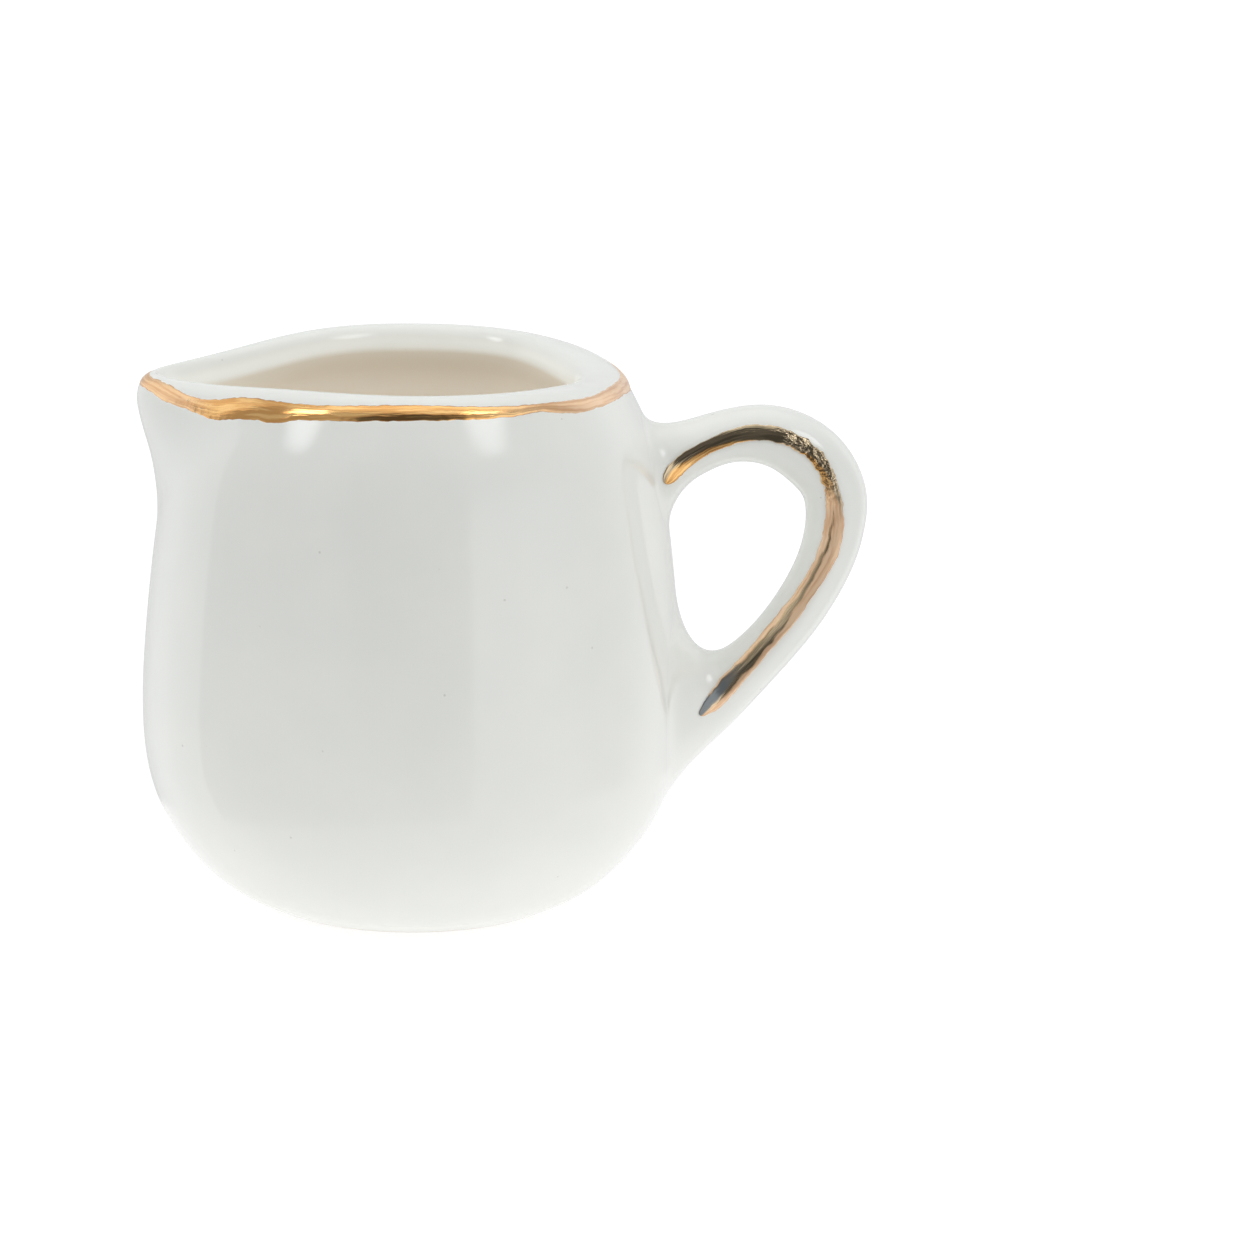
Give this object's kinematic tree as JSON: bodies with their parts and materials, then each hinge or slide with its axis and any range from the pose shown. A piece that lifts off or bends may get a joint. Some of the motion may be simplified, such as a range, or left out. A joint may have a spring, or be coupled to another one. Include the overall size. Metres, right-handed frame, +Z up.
{
  "type": "porcelain cream jug",
  "caption": "Small bellied cream jug of glazed porcelain with a pointed pouring lip, a loop handle joined on with slip, and gilding round the rim and along the handle.",
  "frame": {"origin": "on the plane the jug stands on, at the middle of its overall length from lip to handle and of its width", "axes": "+Z up, out of the mouth; +X from the pouring lip towards the handle; +Y to the left of someone looking along +X"},
  "size_m": [0.0766, 0.0574, 0.058],
  "materials": {
    "body_porcelain": "glossy transparent glaze over white porcelain, foot ring unglazed",
    "handle_porcelain": "glossy transparent glaze over white porcelain",
    "slip_porcelain": "glossy transparent glaze over white porcelain",
    "rim_gold": "bright brushed-on gold, fired",
    "handle_gold": "bright brushed-on gold, fired"
  },
  "bodies": {
    "root": {"jug_body": "body_porcelain", "handle": "handle_porcelain", "upper_slip_joint": "slip_porcelain", "lower_slip_joint": "slip_porcelain", "rim_gilding": "rim_gold", "handle_gilding_front": "handle_gold", "handle_gilding_back": "handle_gold"}
  },
  "joints": []
}
